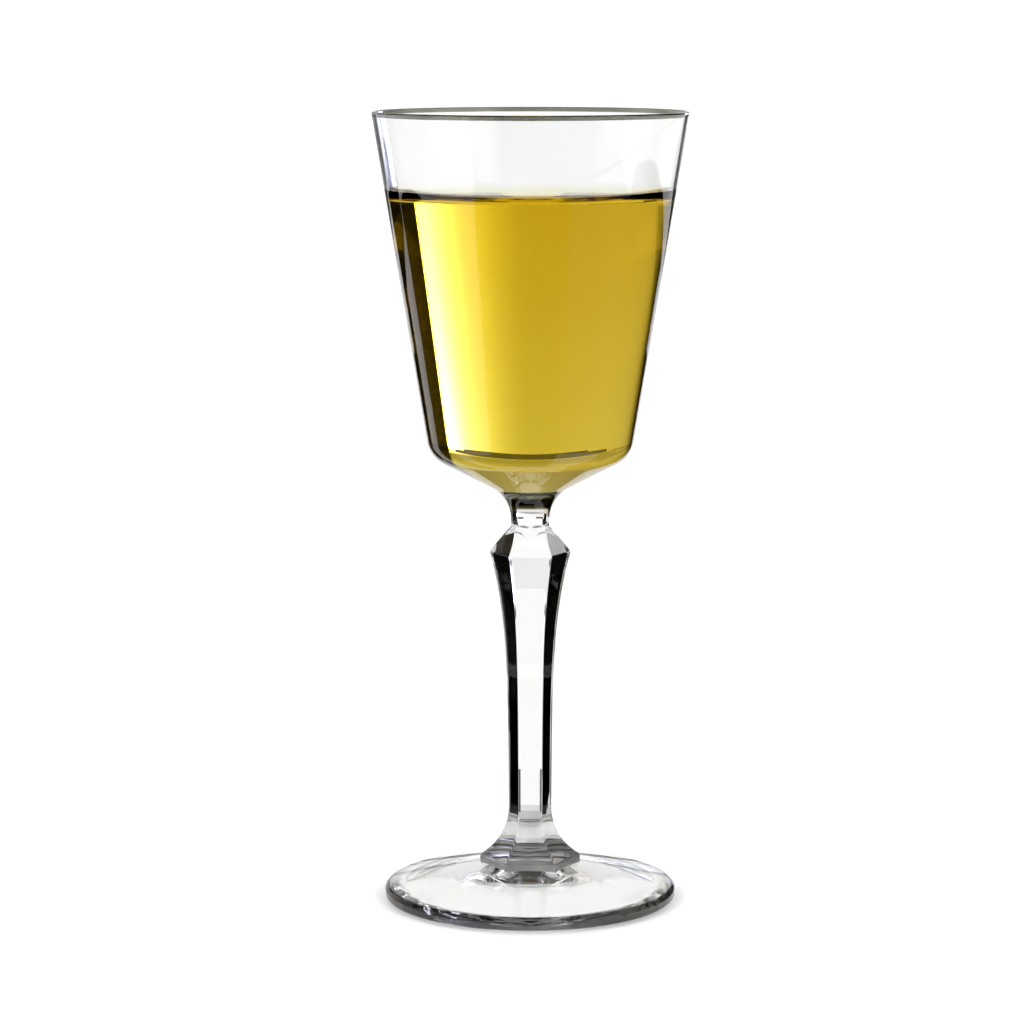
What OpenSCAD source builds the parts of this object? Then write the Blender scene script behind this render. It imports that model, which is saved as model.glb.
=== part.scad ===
// Stemmed wine glass: blown conical bowl, pressed six-sided stem, pressed foot, and the wine in the bowl.
// Millimetres, +Z up, origin at the middle of the ring that the foot stands on.

/* [Overall] */
// Height from the table to the rim
glass_h = 195; // [188:1:205]
// Outside diameter of the rim, before its edge is rounded
rim_d = 77.5; // [74:0.5:84]
// Diameter of the foot
foot_d = 72.5; // [66:0.5:80]

/* [Bowl] */
// Lean of the bowl's wall away from upright, in degrees
wall_lean = 9.4; // [8:0.2:11]
// Thickness of the bowl's wall
wall_t = 1.1; // [0.9:0.1:1.5]
// Thickness of the cone under the bowl's wall
cone_t = 1.6; // [1.2:0.1:2.4]
// Height at which the wall and the cone below it would meet in a sharp corner
corner_h = 110.9; // [108:0.1:114]
// Radius that rounds that corner outside
corner_r = 7; // [5:0.5:9]
// Radius that rounds the same corner inside
inner_corner_r = 3.5; // [3:0.5:6]
// Rise of the cone from level, in degrees
cone_rise = 27.5; // [25:0.5:30]
// Radius of the hollow at the lowest point inside the bowl
well_r = 18; // [12:1:22]

/* [Neck] */
// Radius of the neck where the cone runs into it
neck_r = 5.05; // [4.9:0.05:5.4]
// Radius of the neck at the seam, where the bowl is fused to the stem
seam_r = 4.75; // [4.4:0.05:4.85]
// Radius of the hollow curve between the cone and the neck
neck_fillet = 9; // [7:0.5:9.5]
// Height of the seam
seam_h = 94.3; // [94:0.1:95]

/* [Stem] */
// Height of the shoulder, the widest part of the stem
shoulder_h = 86.9; // [84:0.1:88]
// Radius of the shoulder, measured to the corners
shoulder_r = 10.15; // [8.5:0.05:11]
// Height of the top of the sloping facets above the shoulder
slope_top_h = 93.3; // [92.5:0.1:93.5]
// Radius of the stem at its foot end, measured to the corners
waist_r = 5.45; // [4.8:0.05:6]
// How much wider the stem would be at the shoulder if it only tapered evenly
even_taper = 0.45; // [0:0.05:1]
// How suddenly the stem swells towards the shoulder
swell_power = 4.2; // [3:0.1:6]

/* [Foot] */
// Height of the joint, where the stem is fused to the foot
joint_h = 22.5; // [21:0.1:24]
// Radius of the six-sided flare at its base, measured to the corners
flare_r = 12.6; // [10.5:0.1:13]
// Radius of the curve that the flare follows
flare_curve = 13.7; // [12.5:0.1:16]
// Height of the plate's top where the flare stands on it
hub_h = 8.3; // [7.5:0.1:9]
// Thickness of the plate's rim, before its edges are rounded
edge_h = 3; // [2.6:0.1:3.6]
// Width of the flat ring that the foot stands on
ring_w = 4; // [3:0.5:6]
// Height of the hollow under the middle of the foot
hollow_h = 4.6; // [3:0.1:5]

/* [Wine] */
// Distance from the rim down to the surface of the wine
headspace = 19.7; // [8:0.1:45]

/* [Hidden] */

SIDES = 6;            // flat sides of the stem and the flare
ROUND_STEPS = 120;    // segments round a full turn
BEND_STEPS = 10;      // segments along a rounded corner
STEM_STEPS = 24;      // rings along the stem's curve
FLARE_STEPS = 12;     // rings along the flare's curve
SHOULDER_ROUND = 0.8; // radius that softens the shoulder's edge
NIB_STEP = 0.7;       // how far the corners of the sloping facets stand out from the round nib at the top
TOP_EDGE_R = 1.5;     // rounding of the plate's upper edge
LOW_EDGE_R = 1.1;     // rounding of the plate's lower edge
LIP_ROUND = 0.47;     // radius of the rim's rounded edges, as a share of the wall's thickness

glass_colour = [0.86, 0.93, 0.95, 0.45];
wine_colour = [0.86, 0.70, 0.16, 0.75];

rim_r = rim_d / 2;
foot_r = foot_d / 2;
wall_slope = tan(wall_lean);
cone_slope = tan(cone_rise);

// Outside of the bowl: radius of the wall and height of the cone
function wall_x(z) = rim_r - (glass_h - z) * wall_slope;
function cone_z(x) = corner_h + (x - wall_x(corner_h)) * cone_slope;

// Inside of the bowl, each face set in by its own thickness
function inner_wall_x(z) = wall_x(z) - wall_t / cos(wall_lean);
function inner_cone_z(x) = cone_z(x) + cone_t / cos(cone_rise);

// Radius and height of the inside corner, where those two lines cross
inner_corner_x = (inner_wall_x(corner_h) + (inner_cone_z(0) - corner_h) * wall_slope)
               / (1 - wall_slope * cone_slope);
inner_corner = [inner_corner_x, inner_cone_z(inner_corner_x), inner_corner_r];
well_centre_z = inner_cone_z(0) + well_r / cos(cone_rise);
wine_level = glass_h - headspace;

// Radius of the stem's corners at height z
function stem_x(z) =
    let (up = (z - joint_h) / (shoulder_h - joint_h))
    waist_r + even_taper * up + (shoulder_r - waist_r - even_taper) * pow(up, swell_power);

// Points along an arc, between two angles in degrees
function arc(centre, r, from, to, steps) =
    [for (i = [0:steps]) let (a = from + (to - from) * i / steps) centre + r * [cos(a), sin(a)]];

function unit(v) = v / norm(v);
function xz(p) = [p[0], p[1]];

// Arc that rounds the corner at q, between its neighbours p and s; q[2] is the radius
function round_corner(p, q, s) =
    let (
        back = unit(xz(p) - xz(q)),
        on = unit(xz(s) - xz(q)),
        half = acos(back * on) / 2,
        centre = xz(q) + unit(back + on) * q[2] / sin(half),
        first = xz(q) + back * q[2] / tan(half) - centre,
        last = xz(q) + on * q[2] / tan(half) - centre,
        from = atan2(first[1], first[0]),
        turn = atan2(last[1], last[0]) - from,
        short_turn = turn > 180 ? turn - 360 : turn < -180 ? turn + 360 : turn
    )
    arc(centre, q[2], from, from + short_turn, BEND_STEPS);

// Outline through [x, z] points and [x, z, radius] corners, which are rounded
function outline(points) =
    let (last = len(points) - 1)
    [for (i = [0:last])
        each len(points[i]) == 3
            ? round_corner(points[i == 0 ? last : i - 1], points[i], points[i == last ? 0 : i + 1])
            : [points[i]]];

// Arc up from the lowest point inside the bowl to where the straight cone starts
well_arc = arc([0, well_centre_z], well_r, -90, -90 + cone_rise, BEND_STEPS);

module turned(points, sides = ROUND_STEPS) {
    rotate_extrude($fn = sides) polygon(outline(points));
}

// Blown bowl with the short neck under it, closed at the seam
module bowl() {
    lip_x = [wall_x(glass_h), inner_wall_x(glass_h)];
    lip_r = wall_t * LIP_ROUND;
    color(glass_colour)
    turned(concat(
        well_arc,
        [inner_corner,
         [lip_x[1], glass_h, lip_r],
         [lip_x[0], glass_h, lip_r],
         [wall_x(corner_h), corner_h, corner_r],
         [neck_r, cone_z(neck_r), neck_fillet],
         [seam_r, seam_h],
         [0, seam_h]]
    ));
}

// Pressed stem: six flat sides from the joint up to the shoulder, six sloping ones above it, and a round nib
module stem() {
    rings = [for (i = [0:STEM_STEPS - 1])
        let (z = joint_h + (shoulder_h - joint_h) * i / STEM_STEPS) [stem_x(z), z]];
    color(glass_colour)
    union() {
        turned(concat(
            [[0, joint_h]],
            rings,
            [[shoulder_r, shoulder_h, SHOULDER_ROUND],
             [seam_r + NIB_STEP, slope_top_h],
             [0, slope_top_h]]
        ), SIDES);
        turned([[0, shoulder_h], [seam_r, shoulder_h], [seam_r, seam_h], [0, seam_h]]);
    }
}

// Six-sided flare that spreads from the joint down to the plate
module flare() {
    curve_centre = [waist_r + flare_curve, joint_h];
    spread = acos((curve_centre[0] - flare_r) / flare_curve);
    turned(concat(
        [[0, hollow_h], [0, joint_h]],
        arc(curve_centre, flare_curve, 180, 180 + spread, FLARE_STEPS),
        [[flare_r, hollow_h]]
    ), SIDES);
}

// Round plate that slopes down to its edge, with a shallow domed hollow underneath
module plate() {
    ring_inner_r = foot_r - LOW_EDGE_R - ring_w;
    dome_r = (ring_inner_r * ring_inner_r + hollow_h * hollow_h) / (2 * hollow_h);
    dome_spread = asin(ring_inner_r / dome_r);
    turned(concat(
        arc([0, hollow_h - dome_r], dome_r, 90, 90 - dome_spread, BEND_STEPS),
        [[foot_r, 0, LOW_EDGE_R],
         [foot_r, edge_h, TOP_EDGE_R],
         [flare_r, hub_h],
         [0, hub_h]]
    ));
}

// Pressed foot: plate and flare in one piece of glass
module foot() {
    color(glass_colour)
    union() {
        plate();
        flare();
    }
}

// White wine, filling the bowl to its level
module wine() {
    color(wine_colour)
    turned(concat(
        well_arc,
        [inner_corner,
         [inner_wall_x(wine_level), wine_level],
         [0, wine_level]]
    ));
}

bowl();
stem();
foot();
wine();
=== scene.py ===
"""Looks of the stemmed wine glass: clear glass in three fused pieces, and the white wine in the bowl.

Everything is in metres, +Z up, with the origin in the middle of the ring that the foot stands on.
"""

import math

import bmesh
import bpy
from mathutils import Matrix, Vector


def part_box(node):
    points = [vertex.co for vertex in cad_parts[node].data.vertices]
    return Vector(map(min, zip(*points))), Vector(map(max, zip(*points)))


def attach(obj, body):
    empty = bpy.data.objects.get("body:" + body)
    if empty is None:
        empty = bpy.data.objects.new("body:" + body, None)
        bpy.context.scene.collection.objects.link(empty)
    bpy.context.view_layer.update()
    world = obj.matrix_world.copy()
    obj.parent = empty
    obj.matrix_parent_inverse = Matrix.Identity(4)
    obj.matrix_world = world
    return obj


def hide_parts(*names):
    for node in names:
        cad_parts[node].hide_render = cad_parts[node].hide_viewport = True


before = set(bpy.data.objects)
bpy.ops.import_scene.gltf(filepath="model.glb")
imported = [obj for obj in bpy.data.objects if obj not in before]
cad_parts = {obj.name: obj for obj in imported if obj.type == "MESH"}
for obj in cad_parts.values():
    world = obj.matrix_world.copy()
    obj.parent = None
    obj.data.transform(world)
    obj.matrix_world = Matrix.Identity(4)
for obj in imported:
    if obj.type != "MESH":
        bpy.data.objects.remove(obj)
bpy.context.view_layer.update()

MM = 0.001

# ---------------------------------------------------------------- sizes that the frame gives

_, bowl_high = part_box("bowl")
stem_low, stem_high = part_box("stem")
_, foot_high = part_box("foot")
wine_low, wine_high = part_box("wine")

rim_z = bowl_high.z
seam_z = stem_high.z             # where the bowl's neck is fused to the stem
joint_z = stem_low.z             # where the stem is fused to the foot
foot_r = foot_high.x
wine_z = wine_high.z             # level of the wine
wine_r = wine_high.x             # radius of the wine at that level, which is the bowl's inside there
well_z = wine_low.z              # lowest point inside the bowl

# ---------------------------------------------------------------- the rest of the glass's shape

WALL_LEAN = math.radians(9.4)
WALL_T = 1.1 * MM
CONE_RISE = math.radians(27.5)
CONE_T = 1.6 * MM
CORNER_R = 7.0 * MM              # outside radius between the wall and the cone
WELL_R = 18.0 * MM               # radius of the hollow at the lowest point inside
INNER_CORNER_R = 3.5 * MM
LIP_R = 0.5 * MM                 # rounding of the rim's two edges
LIP_H = 1.2 * MM                 # height of the fire-polished lip, whose glass is tinted dark as painted shade
NECK_R = 5.05 * MM
NECK_FILLET = 9 * MM
NECK_SHADE = (98.2 * MM, 102.2 * MM)    # heights between which the glass at the neck is tinted dark: painted shade for the dark that the thick glass shows there
SEAM_R = 4.75 * MM

SIDES = 6
HEX = 2 * math.pi / SIDES
FLAT = math.cos(HEX / 2)         # distance to a flat side over distance to a corner
SHOULDER_Z = 86.9 * MM
SHOULDER_R = 10.15 * MM          # to the corners, as are the other radii of the stem and the flare
SLOPE_TOP_Z = 93.3 * MM
SLOPE_TOP_R = 5.45 * MM
WAIST_R = 5.45 * MM
EVEN_TAPER = 0.45 * MM
SWELL_POWER = 4.2
STEM_EDGE_R = 0.9 * MM           # rounding along the stem's edges
SHOULDER_EDGE_R = 0.8 * MM

FLARE_R = 12.6 * MM
FLARE_CURVE = 13.7 * MM
FLARE_EDGE_R = 0.7 * MM
HUB_Z = 8.3 * MM
EDGE_Z = 3.0 * MM
TOP_EDGE_R = 1.5 * MM
LOW_EDGE_R = 1.1 * MM
RING_W = 4.0 * MM
HOLLOW_Z = 4.6 * MM
EDGE_W = 1.5 * MM                # width of the foot's edge, where the glass is tinted dark as painted shade

CAPILLARY = 2.26 * MM            # capillary length of wine, which sets the size of its meniscus
WETTING = math.radians(30)       # angle between the wine's surface and the glass
CLIMB = 1.1 * MM                 # the edge of the wine touches the glass this far above its level
WINE_GAP = 0.03 * MM             # keeps the wine's skin off the glass

ROUND_STEPS = 192                # points round a turned shape
EDGE_STEPS = 10                  # steps round each rounded edge of a six-sided shape
FLAT_STEPS = 9                   # steps along each of its flat sides, shorter near the edges
FLAT_SHARES = [0.5 - 0.5 * math.cos(math.pi * i / FLAT_STEPS) for i in range(1, FLAT_STEPS)]
STEM_STEPS = 50                  # rings up the stem below its shoulder
TURN_STEP = math.radians(4)      # largest turn between two points of a rounded corner
STEM_TURN_STEP = math.radians(8)    # the same, on the stem and the flare
TINY = 1e-9                      # shorter than this is nothing

# ---------------------------------------------------------------- outlines


def arc(centre, radius, start, end, steps):
    """Points (r, z) along an arc, between two angles."""
    points = []
    for i in range(steps + 1):
        angle = start + (end - start) * i / steps
        points.append((centre[0] + radius * math.cos(angle), centre[1] + radius * math.sin(angle)))
    return points


def outline(points, turn_step=TURN_STEP):
    """Line through (r, z) points, where a point with a third number is a corner rounded to that radius."""
    line = []
    for i, point in enumerate(points):
        if len(point) == 2:
            line.append(tuple(point))
            continue
        corner = Vector(point[:2])
        back = (Vector(points[i - 1][:2]) - corner).normalized()
        on = (Vector(points[i + 1][:2]) - corner).normalized()
        half = back.angle(on) / 2
        centre = corner + (back + on).normalized() * point[2] / math.sin(half)
        first = corner + back * point[2] / math.tan(half) - centre
        last = corner + on * point[2] / math.tan(half) - centre
        turn = math.atan2(first.x * last.y - first.y * last.x, first.dot(last))
        start = math.atan2(first.y, first.x)
        steps = max(4, math.ceil(abs(turn) / turn_step))
        line += arc(centre, point[2], start, start + turn, steps)
    return line


def spaced(line, gap):
    """The same line with more points on its long straight stretches."""
    fine = [line[0]]
    for a, b in zip(line, line[1:]):
        steps = max(1, math.ceil(math.dist(a, b) / gap))
        for i in range(1, steps + 1):
            fine.append((a[0] + (b[0] - a[0]) * i / steps, a[1] + (b[1] - a[1]) * i / steps))
    return fine


def inner_wall_r(z):
    return wine_r + (z - wine_z) * math.tan(WALL_LEAN)


def outer_wall_r(z):
    return inner_wall_r(z) + WALL_T / math.cos(WALL_LEAN)


def inner_cone_z(r):
    return well_z + WELL_R * (1 - 1 / math.cos(CONE_RISE)) + r * math.tan(CONE_RISE)


def outer_cone_z(r):
    return inner_cone_z(r) - CONE_T / math.cos(CONE_RISE)


def corner_between(wall_r, cone_z):
    """Where a straight wall line and a straight cone line of the bowl cross."""
    lean, rise = math.tan(WALL_LEAN), math.tan(CONE_RISE)
    r = (wall_r(0) + cone_z(0) * lean) / (1 - lean * rise)
    return r, cone_z(r)


def bowl_inside():
    """Line up the inside of the bowl, from its lowest point to where the rim's rounding starts."""
    well = arc((0, well_z + WELL_R), WELL_R, -math.pi / 2, -math.pi / 2 + CONE_RISE, 12)
    corner = corner_between(inner_wall_r, inner_cone_z)
    return well, (*corner, INNER_CORNER_R)


# ---------------------------------------------------------------- meshes

SHARP_ANGLE = math.radians(50)   # edges that turn more than this stay sharp


def circle(radius, z):
    """Ring of points, or one point on the axis."""
    if radius < TINY:
        return [(0, 0, z)]
    ring = []
    for k in range(ROUND_STEPS):
        angle = 2 * math.pi * k / ROUND_STEPS
        ring.append((radius * math.cos(angle), radius * math.sin(angle), z))
    return ring


def six_sided(flat_r, edge_r, height):
    """Ring with six flat sides at flat_r from the axis and edges rounded to edge_r.

    height is a function that gives a point's height from its distance to the axis.
    """
    if flat_r < TINY:
        return [(0, 0, height(0))]
    edge_r = min(edge_r, flat_r)
    centre_r = (flat_r - edge_r) / FLAT
    rounded = []
    for side in range(SIDES):
        middle = side * HEX
        for i in range(EDGE_STEPS + 1):
            angle = middle + HEX * (i / EDGE_STEPS - 0.5)
            rounded.append(
                (
                    centre_r * math.cos(middle) + edge_r * math.cos(angle),
                    centre_r * math.sin(middle) + edge_r * math.sin(angle),
                    len(rounded) % (EDGE_STEPS + 1) == EDGE_STEPS,
                )
            )
    ring = []
    for k, (x, y, ends_edge) in enumerate(rounded):
        ring.append((x, y))
        if ends_edge:
            next_x, next_y, _ = rounded[(k + 1) % len(rounded)]
            ring += [(x + (next_x - x) * share, y + (next_y - y) * share) for share in FLAT_SHARES]
    return [(x, y, height(math.hypot(x, y))) for x, y in ring]


def skin(name, rings, bands, materials):
    """Closed smooth mesh through rings of points; bands has the material between each ring and the next."""
    points, starts = [], []
    for ring in rings:
        starts.append(len(points))
        points += ring
    faces, slots = [], []
    for i, (low, high) in enumerate(zip(rings, rings[1:])):
        count = max(len(low), len(high))
        for k in range(count):
            after = (k + 1) % count
            if len(low) == 1:
                face = (starts[i], starts[i + 1] + k, starts[i + 1] + after)
            elif len(high) == 1:
                face = (starts[i] + after, starts[i] + k, starts[i + 1])
            else:
                face = (starts[i] + after, starts[i] + k, starts[i + 1] + k, starts[i + 1] + after)
            faces.append(face)
            slots.append(materials.index(bands[i]))
    mesh = bpy.data.meshes.new(name)
    mesh.from_pydata(points, [], faces)
    for material in materials:
        mesh.materials.append(material)
    mesh.polygons.foreach_set("material_index", slots)
    work = bmesh.new()
    work.from_mesh(mesh)
    bmesh.ops.recalc_face_normals(work, faces=work.faces)
    work.to_mesh(mesh)
    work.free()
    mesh.shade_smooth()
    mesh.set_sharp_from_angle(angle=SHARP_ANGLE)
    piece = bpy.data.objects.new(name, mesh)
    bpy.context.scene.collection.objects.link(piece)
    return piece


# ---------------------------------------------------------------- materials

GLASS_IOR = 1.5
WINE_IOR = 1.34
WINE_TINT = (0.90, 0.80, 0.05, 1)
WINE_DENSITY = 71.0              # how strongly the wine takes out the other colours, to the metre
TOP_FACES = "open_surface"       # face attribute: 1 on the wine's open surface, 0 against the glass

CLEAR = (0.985, 0.995, 0.99)
# dark grey tint of the lip: painted shade for the grey line along the rim
LIP_PAINTED_SHADE = (0.26, 0.265, 0.225)
# near-black olive tint of the neck: painted shade
NECK_PAINTED_SHADE = (0.07, 0.07, 0.03)
PRESSED_TINT = (0.94, 0.945, 0.935)
# grey tint of the flare: painted shade for its darker facets
FLARE_PAINTED_SHADE = (0.75, 0.755, 0.75)
# dark tint of the foot's edge: painted shade for its dark outline
EDGE_PAINTED_SHADE = (0.16, 0.163, 0.158)
BLOWN_WAVES = (70, 0.02 * MM)    # waves to the metre, and their height
PRESSED_WAVES = (140, 0.02 * MM)
EDGE_WAVES = (28, 0.02 * MM)
DRIFT_STOPS = (0.3, 0.7)         # levels of the noise between which the tint drifts


def new_material(name):
    material = bpy.data.materials.new(name)
    material.use_nodes = True
    tree = material.node_tree
    return material, tree, tree.nodes["Principled BSDF"]


def uneven_glass(tree, shader, tint, scale, height, drift_to):
    """Faint waves on the surface and a tint that drifts a little, as blown and pressed glass has; where the
    tint is painted shade, it drifts further and makes that painted shade uneven.
    """
    place = tree.nodes.new("ShaderNodeTexCoord")
    noise = tree.nodes.new("ShaderNodeTexNoise")
    noise.inputs["Scale"].default_value = scale
    noise.inputs["Detail"].default_value = 1.0
    tree.links.new(place.outputs["Object"], noise.inputs["Vector"])
    bump = tree.nodes.new("ShaderNodeBump")
    bump.inputs["Distance"].default_value = height
    tree.links.new(noise.outputs["Fac"], bump.inputs["Height"])
    tree.links.new(bump.outputs["Normal"], shader.inputs["Normal"])
    drift = tree.nodes.new("ShaderNodeValToRGB")
    for element, stop in zip(drift.color_ramp.elements, DRIFT_STOPS):
        element.position = stop
    drift.color_ramp.elements[0].color = (*[level * drift_to for level in tint], 1)
    drift.color_ramp.elements[1].color = (*tint, 1)
    tree.links.new(noise.outputs["Fac"], drift.inputs["Fac"])
    tree.links.new(drift.outputs["Color"], shader.inputs["Base Color"])


def glass(name, ior, tint, scale, height, drift_to=0.98):
    """Clear glass, or glass with a tint, which on the lip, neck, flare and foot's edge is painted shade;
    its tint drifts down to that share of itself.
    """
    material, tree, shader = new_material(name)
    shader.inputs["Roughness"].default_value = 0.0
    shader.inputs["IOR"].default_value = ior
    shader.inputs["Transmission Weight"].default_value = 1.0
    uneven_glass(tree, shader, tint, scale, height, drift_to)
    return material


def fused():
    """The inside faces where two pieces of glass are melted together: nothing shows there."""
    material = bpy.data.materials.new("fused_glass")
    material.use_nodes = True
    tree = material.node_tree
    tree.nodes.remove(tree.nodes["Principled BSDF"])
    clear = tree.nodes.new("ShaderNodeBsdfTransparent")
    tree.links.new(clear.outputs["BSDF"], tree.nodes["Material Output"].inputs["Surface"])
    return material


def wine_material():
    """Golden liquid. Its open surface bends light; where it meets the glass, the wetted glass does that."""
    material, tree, shader = new_material("white_wine")
    shader.inputs["Base Color"].default_value = (1, 1, 1, 1)
    shader.inputs["Roughness"].default_value = 0.0
    shader.inputs["Transmission Weight"].default_value = 1.0
    top = tree.nodes.new("ShaderNodeAttribute")
    top.attribute_name = TOP_FACES
    ior = tree.nodes.new("ShaderNodeMath")
    ior.operation = "MULTIPLY_ADD"
    ior.inputs[1].default_value = WINE_IOR - 1
    ior.inputs[2].default_value = 1.0
    tree.links.new(top.outputs["Fac"], ior.inputs[0])
    tree.links.new(ior.outputs["Value"], shader.inputs["IOR"])
    absorb = tree.nodes.new("ShaderNodeVolumeAbsorption")
    absorb.inputs["Color"].default_value = WINE_TINT
    absorb.inputs["Density"].default_value = WINE_DENSITY
    tree.links.new(absorb.outputs["Volume"], tree.nodes["Material Output"].inputs["Volume"])
    return material


blown_glass = glass("blown_glass", GLASS_IOR, CLEAR, *BLOWN_WAVES)
wetted_glass = glass("wetted_glass", GLASS_IOR / WINE_IOR, CLEAR, *BLOWN_WAVES)
# the lip's glass is tinted dark grey: painted shade
lip_painted_shade_glass = glass("lip_painted_shade_glass", GLASS_IOR, LIP_PAINTED_SHADE, *BLOWN_WAVES, drift_to=0.6)
# the neck's glass is tinted near black: painted shade
neck_painted_shade_glass = glass("neck_painted_shade_glass", GLASS_IOR, NECK_PAINTED_SHADE, *BLOWN_WAVES, drift_to=0.6)
pressed_glass = glass("pressed_glass", GLASS_IOR, PRESSED_TINT, *PRESSED_WAVES)
# the flare's glass is tinted grey, drifting darker: painted shade
flare_painted_shade_glass = glass("flare_painted_shade_glass", GLASS_IOR, FLARE_PAINTED_SHADE, *PRESSED_WAVES, drift_to=0.5)
# the foot's edge is tinted nearly black, with noise drifting it darker still in patches: painted shade
edge_painted_shade_glass = glass("edge_painted_shade_glass", GLASS_IOR, EDGE_PAINTED_SHADE, *EDGE_WAVES, drift_to=0.08)
fused_glass = fused()
white_wine = wine_material()

# ---------------------------------------------------------------- pieces

BOWL_GAP = 1.5 * MM              # longest step along a straight stretch of the bowl and the wine
STEM_GAP = 1.4 * MM
FOOT_GAP = 1.2 * MM
INSIDE_SLACK = 0.01 * MM         # a point this near the bowl's inner wall counts as inside
BLEND_R = 22 * MM                # from six-sided at the flare, the foot's top is round from here on
BLEND_STEPS = 14
FLARE_STEPS = 24
DOME_STEPS = 24
MENISCUS_STEPS = 28

def make_bowl():
    """Bowl with its lip, its rounded corner, the cone under that, and the neck down to the seam."""
    well, inner_corner = bowl_inside()
    outer_corner = corner_between(outer_wall_r, outer_cone_z)
    contact_z = wine_z + CLIMB
    lip_z = rim_z - LIP_H
    line = spaced(
        outline(
            well
            + [
                inner_corner,
                (inner_wall_r(contact_z), contact_z),
                (inner_wall_r(lip_z), lip_z),
                (inner_wall_r(rim_z), rim_z, LIP_R),
                (outer_wall_r(rim_z), rim_z, LIP_R),
                (outer_wall_r(lip_z), lip_z),
                (*outer_corner, CORNER_R),
                (NECK_R, outer_cone_z(NECK_R), NECK_FILLET),
                (SEAM_R, seam_z),
                (0, seam_z),
            ]
        ),
        BOWL_GAP,
    )
    bands = []
    inside = True
    for (r, low), (_, high) in zip(line, line[1:]):
        middle = (low + high) / 2
        inside = inside and r < inner_wall_r(low) + INSIDE_SLACK
        if middle <= seam_z + TINY:
            bands.append(fused_glass)
        # the lip gets the dark-tinted glass: painted shade
        elif middle > lip_z:
            bands.append(lip_painted_shade_glass)
        elif inside and middle < contact_z:
            bands.append(wetted_glass)
        # the thick glass at the neck gets the dark-tinted glass: painted shade
        elif not inside and NECK_SHADE[0] < middle < NECK_SHADE[1]:
            bands.append(neck_painted_shade_glass)
        else:
            bands.append(blown_glass)
    rings = [circle(r, z) for r, z in line]
    materials = [blown_glass, wetted_glass, fused_glass, lip_painted_shade_glass, neck_painted_shade_glass]
    return skin("wine_glass_bowl", rings, bands, materials)


def stem_r(z):
    """Radius to the stem's corners at height z, below the shoulder."""
    up = (z - joint_z) / (SHOULDER_Z - joint_z)
    return WAIST_R + EVEN_TAPER * up + (SHOULDER_R - WAIST_R - EVEN_TAPER) * up**SWELL_POWER


def make_stem():
    """Six-sided stem, which turns round above its shoulder to meet the bowl's neck."""
    body = []
    for i in range(STEM_STEPS):
        z = joint_z + (SHOULDER_Z - joint_z) * i / STEM_STEPS
        body.append((stem_r(z), z))
    top = outline(
        body[-1:]
        + [
            (SHOULDER_R, SHOULDER_Z, SHOULDER_EDGE_R),
            (SLOPE_TOP_R, SLOPE_TOP_Z, SHOULDER_EDGE_R),
            (SEAM_R / FLAT, seam_z),
        ],
        STEM_TURN_STEP,
    )
    line = spaced(body[:-1] + top, STEM_GAP)
    rings = [circle(0, joint_z)]
    for corner_r, z in line:
        flat_r = corner_r * FLAT
        rounding = min(1, max(0, (z - SHOULDER_Z) / (SLOPE_TOP_Z - SHOULDER_Z)))
        edge_r = STEM_EDGE_R + (flat_r - STEM_EDGE_R) * rounding**3
        rings.append(six_sided(flat_r, edge_r, lambda _, z=z: z))
    rings.append(circle(0, seam_z))
    bands = [fused_glass] + [pressed_glass] * (len(rings) - 3) + [fused_glass]
    return skin("wine_glass_stem", rings, bands, [pressed_glass, fused_glass])


def plate_top(r):
    """Height of the plate's sloping top at that radius."""
    return HUB_Z - (HUB_Z - EDGE_Z) * (r - FLARE_R) / (foot_r - FLARE_R)


def make_foot():
    """Six-sided flare on a round plate with a shallow hollow underneath."""
    curve_centre = (WAIST_R + FLARE_CURVE, joint_z)
    spread = math.acos((curve_centre[0] - FLARE_R) / FLARE_CURVE)
    flare = arc(curve_centre, FLARE_CURVE, math.pi, math.pi + spread, FLARE_STEPS)
    flare_end = flare[-1]
    step = outline(
        [flare[-2], (*flare_end, FLARE_EDGE_R), (FLARE_R, plate_top(FLARE_R))],
        STEM_TURN_STEP,
    )
    rings = [circle(0, joint_z)]
    for corner_r, z in flare[:-2] + step[:-1]:
        rings.append(six_sided(corner_r * FLAT, STEM_EDGE_R, lambda _, z=z: z))
    flare_rings = len(rings)
    for i in range(BLEND_STEPS + 1):
        share = i / BLEND_STEPS
        flat_r = FLARE_R * FLAT + (BLEND_R - FLARE_R * FLAT) * share
        edge_r = STEM_EDGE_R + (flat_r - STEM_EDGE_R) * share**1.5
        rings.append(six_sided(flat_r, edge_r, plate_top))
    ring_inner_r = foot_r - LOW_EDGE_R - RING_W
    dome_r = (ring_inner_r**2 + HOLLOW_Z**2) / (2 * HOLLOW_Z)
    dome = arc(
        (0, HOLLOW_Z - dome_r),
        dome_r,
        math.pi / 2 - math.asin(ring_inner_r / dome_r),
        math.pi / 2,
        DOME_STEPS,
    )
    rim = spaced(
        outline(
            [
                (BLEND_R, plate_top(BLEND_R)),
                (foot_r, EDGE_Z, TOP_EDGE_R),
                (foot_r, 0, LOW_EDGE_R),
                (ring_inner_r, 0),
            ]
        )[1:],
        FOOT_GAP,
    )
    for r, z in rim + dome[1:]:
        rings.append(six_sided(r, r, lambda _, z=z: z))
    bands = [fused_glass]
    for i in range(1, len(rings) - 1):
        inner_r = min(math.hypot(*ring[0][:2]) for ring in rings[i : i + 2])
        going_down = rings[i + 1][0][2] < rings[i][0][2] - TINY
        # the flare gets the grey-tinted glass: painted shade
        if i < flare_rings:
            bands.append(flare_painted_shade_glass)
        # the outer edge of the foot gets the dark-tinted glass: painted shade
        elif inner_r > foot_r - EDGE_W and going_down:
            bands.append(edge_painted_shade_glass)
        else:
            bands.append(pressed_glass)
    return skin("wine_glass_foot", rings, bands, [pressed_glass, fused_glass, edge_painted_shade_glass, flare_painted_shade_glass])


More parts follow.
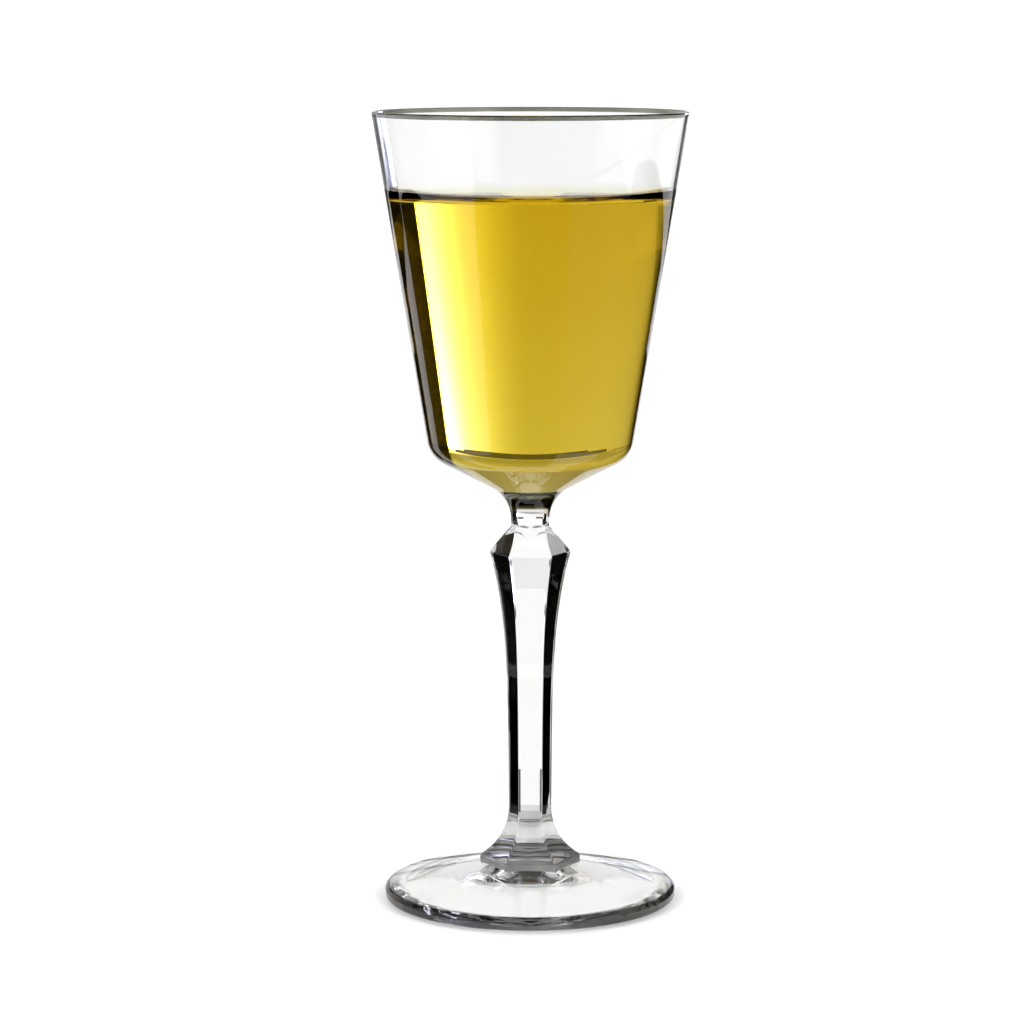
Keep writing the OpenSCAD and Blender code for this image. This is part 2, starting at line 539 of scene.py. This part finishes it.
MENISCUS_H = CAPILLARY * math.sqrt(2 * (1 - math.sin(WETTING)))    # climb from the flat middle to the edge


def meniscus(rise):
    """How far from the glass the wine's surface is, where it stands that much above its flat middle."""
    def reach(z):
        return CAPILLARY * (math.acosh(2 * CAPILLARY / z) - math.sqrt(4 - (z / CAPILLARY) ** 2))

    return reach(rise) - reach(MENISCUS_H)


def make_wine():
    """The wine up to its level, with the curved edge that climbs the glass."""
    well, corner = bowl_inside()
    contact_z = wine_z + CLIMB
    contact_r = inner_wall_r(contact_z)
    side = spaced(outline(well + [corner, (contact_r, contact_z)]), BOWL_GAP)
    side = [(max(0, r - WINE_GAP), z + WINE_GAP) for r, z in side[:-1]]
    side.append((contact_r - WINE_GAP, contact_z))
    side[0] = (0, side[0][1])
    flat_z = contact_z - MENISCUS_H
    top = []
    for i in range(1, MENISCUS_STEPS + 1):
        rise = MENISCUS_H * (1 - i / (MENISCUS_STEPS + 1)) ** 2
        top.append((contact_r - WINE_GAP - meniscus(rise), flat_z + rise))
    top.append((0, flat_z))
    line = side + top
    rings = [circle(r, z) for r, z in line]
    wine = skin("white_wine", rings, [white_wine] * (len(line) - 1), [white_wine])
    top_faces = wine.data.attributes.new(TOP_FACES, "FLOAT", "FACE")
    face_count = len(wine.data.polygons)
    first_top = face_count - len(top) * ROUND_STEPS
    top_faces.data.foreach_set("value", [float(i >= first_top) for i in range(face_count)])
    return wine


for piece, node, slot in (
    (make_bowl(), "bowl", "bowl_glass"),
    (make_stem(), "stem", "stem_glass"),
    (make_foot(), "foot", "foot_glass"),
    (make_wine(), "wine", "wine"),
):
    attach(piece, "root")
    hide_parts(node)
    piece.visible_shadow = False     # clear glass lets the light on to the floor

# ---------------------------------------------------------------- studio


def stage_sheet(name, points, faces, material):
    """Flat or bent sheet of the studio, which isn't part of the object."""
    mesh = bpy.data.meshes.new(name)
    mesh.from_pydata(points, [], faces)
    mesh.materials.append(material)
    sheet = bpy.data.objects.new(name, mesh)
    bpy.context.scene.collection.objects.link(sheet)
    return sheet


def matt(name, colour):
    """Plain surface without any gloss."""
    material, _, shader = new_material(name)
    shader.inputs["Base Color"].default_value = (*colour, 1)
    shader.inputs["Roughness"].default_value = 1.0
    shader.inputs["Specular IOR Level"].default_value = 0.0
    return material


def toward(azimuth, distance, z):
    """Point at that many degrees to the right of straight ahead (+Y), seen from above."""
    angle = math.radians(azimuth)
    return (distance * math.sin(angle), distance * math.cos(angle), z)


FLOOR_HALF = 12.0
FLOOR_GAP = 0.05 * MM            # the floor's face stays this far below the glass's
FLOOR_COLOUR = (0.9, 0.9, 0.9)
FLAG_STEP = 5                    # rough step round a card, in degrees
LYING = 0.4 * MM                 # height of a card that lies on the floor
STEM_CARD = 0.15                 # distance of the two cards that stand beside the stem
BAR = 11.5                       # distance of the far bars
BAR_TONE = 0.25                  # their grey, which shows through the wine from low down

stage_sheet(
    "floor",
    [
        (-FLOOR_HALF, -FLOOR_HALF, -FLOOR_GAP),
        (FLOOR_HALF, -FLOOR_HALF, -FLOOR_GAP),
        (FLOOR_HALF, FLOOR_HALF, -FLOOR_GAP),
        (-FLOOR_HALF, FLOOR_HALF, -FLOOR_GAP),
    ],
    [(0, 1, 2, 3)],
    matt("floor_white", FLOOR_COLOUR),
)


def flag(name, start, end, near, far, tone, taper=1.0):
    """Dark card that only the glass shows, between two directions and two (distance, height) points.

    At its end the card reaches taper times as far as at its start. A tone of 0 is black.
    """
    steps = max(1, round(abs(end - start) / FLAG_STEP))
    points = []
    for i in range(steps + 1):
        share = i / steps
        turn = start + (end - start) * share
        reach = far[0] * (1 + (taper - 1) * share)
        points += [toward(turn, *near), toward(turn, reach, far[1])]
    faces = [(2 * i, 2 * i + 1, 2 * i + 3, 2 * i + 2) for i in range(steps)]
    card = stage_sheet(name, points, faces, matt(name, (tone, tone, tone)))
    card.visible_camera = False
    card.visible_diffuse = False
    card.visible_shadow = False


# Start and end in degrees from straight ahead, near and far points, tone and taper
FLAGS = {
    "flag_right": (29, 95, (0.045, LYING), (1.1, LYING), 0.0, 0.6),
    "flag_left": (-28, -38, (0.5, LYING), (1.42, LYING), 0.0),
    "flag_left_far": (-38, -53, (0.85, LYING), (1.42, LYING), 0.0, 0.67),
    "flag_left_facet": (-29, -37.5, (0.14, LYING), (0.5, LYING), 0.4),
    "flag_left_back": (-54, -84, (0.5, LYING), (0.9, LYING), 0.0, 0.74),
    "flag_left_low": (-55, -84, (0.045, LYING), (0.5, LYING), 0.0),
    "flag_front": (150, 225, (0.045, LYING), (0.9, LYING), 0.0),
    "flag_front_left": (225, 258, (0.045, LYING), (0.2, LYING), 0.0),
    "flag_front_right": (95, 150, (0.25, LYING), (0.62, LYING), 0.1),
    "flag_ahead_right": (14, 29, (1.4, LYING), (2.8, LYING), 0.05),
    "flag_ahead_left": (-11, -30, (1.5, LYING), (3.6, LYING), 0.1),
    "stem_card_right": (30, 82, (STEM_CARD, 0.0), (STEM_CARD, 0.114), 0.0),
    "stem_card_left": (-31, -42, (STEM_CARD, 0.035), (STEM_CARD, 0.114), 0.0),
    "flag_left_near": (-37.8, -40.3, (0.045, LYING), (0.5, LYING), 0.0),
    "bar_behind": (-17.5, 22, (BAR, 1.11), (BAR, 1.52), BAR_TONE),
    "bar_behind_left": (-27, -17.5, (BAR, 1.28), (BAR, 1.52), BAR_TONE),
    "bar_behind_right": (22, 27, (BAR, 1.3), (BAR, 1.52), BAR_TONE),
    "flag_behind_left": (-4, -27, (0.066, LYING), (0.152, LYING), 0.12),
    "flag_behind_right": (4, 27, (0.066, LYING), (0.152, LYING), 0.12),
}
for name, place in FLAGS.items():
    flag(name, *place)


SHADE_INSET = 1.0 * MM           # the shading ring stands this far in from the foot's edge
SHADE_H = 3.0 * MM
SHADE_STEPS = 72


def edge_shade():
    """Short ring in the foot's edge that only casts a shadow: a glass edge bends light away from there."""
    points = []
    for i in range(SHADE_STEPS):
        turn = 360 * i / SHADE_STEPS
        points += [toward(turn, foot_r - SHADE_INSET, 0.0), toward(turn, foot_r - SHADE_INSET, SHADE_H)]
    count = len(points)
    faces = [(i, i + 1, (i + 3) % count, (i + 2) % count) for i in range(0, count, 2)]
    ring = stage_sheet("edge_shade", points, faces, matt("edge_shade", (0, 0, 0)))
    ring.visible_camera = False
    ring.visible_diffuse = False
    ring.visible_glossy = False
    ring.visible_transmission = False


edge_shade()


def sky_light(name, strength, spread, lift, turn=0):
    """Soft light on the floor, which doesn't show in the glass; spread, lift and turn are in degrees."""
    light = bpy.data.lights.new(name, "SUN")
    light.energy = strength
    light.angle = math.radians(spread)
    light.cycles.use_multiple_importance_sampling = False    # or the glass above would take half of it
    lamp = bpy.data.objects.new(name, light)
    lamp.rotation_euler = (math.radians(lift - 90), 0, math.radians(-turn))
    lamp.visible_glossy = False
    lamp.visible_transmission = False
    bpy.context.scene.collection.objects.link(lamp)


SKY_LIGHTS = {
    "overhead": (0.95, 120, 90),
    "behind": (1.75, 40, 35),
    "beside_left": (1.2, 40, 35, -90),
    "beside_right": (1.2, 40, 35, 90),
}
for name, setting in SKY_LIGHTS.items():
    sky_light(name, *setting)

BACKDROP = 1.15                  # the white that the camera itself sees behind the glass

# Level of the light by direction: degrees to the right of straight ahead, or of lift, then grey or colour
PANEL = [
    (-180, 0.08),
    (-128, 0.08),
    (-118, 1.0),
    (-84, 1.0),
    (-74, 0.4),
    (-64, 0.03),
    (-57, 0.03),
    (-50, (0.5, 0.45, 0.3)),
    (-45, (0.85, 0.78, 0.6)),
    (-38, (0.95, 0.87, 0.75)),
    (-20, (0.98, 0.93, 0.9)),
    (0, 0.98),
    (29.5, 1.0),
    (31, 0.02),
    (95, 0.02),
    (105, 1.0),
    (148, 1.0),
    (156, 0.08),
    (180, 0.08),
]
PANEL_LIFT = [
    (-30, 1),
    (6.9, 1),
    (7.2, 0.62),
    (8.5, 0.62),
    (10, 0.9),
    (20, 0.8),
    (31, 0.6),
    (36, 0.5),
    (46, 0.25),
    (60, 0.02),
]
KEY = [
    (0, 0),
    (3, 0.05),
    (7.3, (0.28, 0.32, 0.55)),
    (11, (0.55, 0.68, 1.2)),
    (15, (0.95, 1.05, 2.2)),
    (19, (2.0, 1.9, 5)),
    (22.5, (6, 5.6, 11)),
    (26, (12, 12, 18)),
    (29, (18, 18, 20)),
    (30.6, (18, 18, 20)),
    (31.4, 0),
    (40, 0),
]
KEY_LIFT = [(-30, 1), (6, 1), (7.5, 0), (30, 0)]

def world_light():
    """Soft light all round, by direction: bright ahead, brightest a little to the right, dim high up."""
    world = bpy.data.worlds.new("studio")
    bpy.context.scene.world = world
    world.use_nodes = True
    tree = world.node_tree
    background = tree.nodes["Background"]
    place = tree.nodes.new("ShaderNodeTexCoord")
    split = tree.nodes.new("ShaderNodeSeparateXYZ")
    tree.links.new(place.outputs["Generated"], split.inputs["Vector"])

    def calc(kind, operation, *values):
        node = tree.nodes.new(kind)
        node.operation = operation
        for socket, value in zip(node.inputs, values):
            tree.links.new(value, socket)
        return node.outputs[0]

    def degrees(value):
        node = tree.nodes.new("ShaderNodeMath")
        node.operation = "DEGREES"
        tree.links.new(value, node.inputs[0])
        return node.outputs[0]

    def curve(value, stops):
        """Grey or coloured level at each stop, joined by straight lines."""
        start, end = stops[0][0], stops[-1][0]
        share = tree.nodes.new("ShaderNodeMapRange")
        share.inputs["From Min"].default_value = start
        share.inputs["From Max"].default_value = end
        tree.links.new(value, share.inputs["Value"])
        colours = [level if isinstance(level, tuple) else (level, level, level) for _, level in stops]
        top = max(max(colour) for colour in colours)
        ramp = tree.nodes.new("ShaderNodeValToRGB")
        elements = ramp.color_ramp.elements
        while len(elements) < len(stops):
            elements.new(1.0)
        for element, (at, _), colour in zip(elements, stops, colours):
            element.position = (at - start) / (end - start)
            element.color = (*[level / top for level in colour], 1)
        tree.links.new(share.outputs["Result"], ramp.inputs["Fac"])
        scaled = tree.nodes.new("ShaderNodeVectorMath")
        scaled.operation = "SCALE"
        scaled.inputs["Scale"].default_value = top
        tree.links.new(ramp.outputs["Color"], scaled.inputs[0])
        return scaled.outputs[0]

    azimuth = degrees(calc("ShaderNodeMath", "ARCTAN2", split.outputs["X"], split.outputs["Y"]))
    lift = degrees(calc("ShaderNodeMath", "ARCSINE", split.outputs["Z"]))
    panel = calc("ShaderNodeVectorMath", "MULTIPLY", curve(azimuth, PANEL), curve(lift, PANEL_LIFT))
    key = calc("ShaderNodeVectorMath", "MULTIPLY", curve(azimuth, KEY), curve(lift, KEY_LIFT))
    shaped = calc("ShaderNodeVectorMath", "ADD", panel, key)
    rays = tree.nodes.new("ShaderNodeLightPath")
    seen = tree.nodes.new("ShaderNodeMix")
    seen.data_type = "RGBA"
    tree.links.new(rays.outputs["Is Camera Ray"], seen.inputs["Factor"])
    tree.links.new(shaped, seen.inputs["A"])
    seen.inputs["B"].default_value = (BACKDROP, BACKDROP, BACKDROP, 1)
    tree.links.new(seen.outputs["Result"], background.inputs["Color"])


world_light()

GLASS_BOUNCES = 32               # times that light may pass through the glass's many faces

scene = bpy.context.scene
scene.view_settings.view_transform = "Standard"
scene.cycles.max_bounces = GLASS_BOUNCES
scene.cycles.transmission_bounces = GLASS_BOUNCES
scene.cycles.transparent_max_bounces = GLASS_BOUNCES
scene.cycles.glossy_bounces = GLASS_BOUNCES // 2

# ---------------------------------------------------------------- camera

SENSOR = 36                      # width of the camera's sensor, in millimetres
LENS = 122.0625                  # its focal length, in millimetres
CAMERA_PLACE = (-4.5 * MM, -847.3 * MM, 219.1 * MM)
CAMERA_DIP = 8.218               # degrees that the camera looks down

camera_data = bpy.data.cameras.new("camera")
camera_data.sensor_width = SENSOR
camera_data.lens = LENS
camera = bpy.data.objects.new("camera", camera_data)
camera.location = CAMERA_PLACE
camera.rotation_euler = (math.radians(90 - CAMERA_DIP), 0, 0)
scene.collection.objects.link(camera)
scene.camera = camera
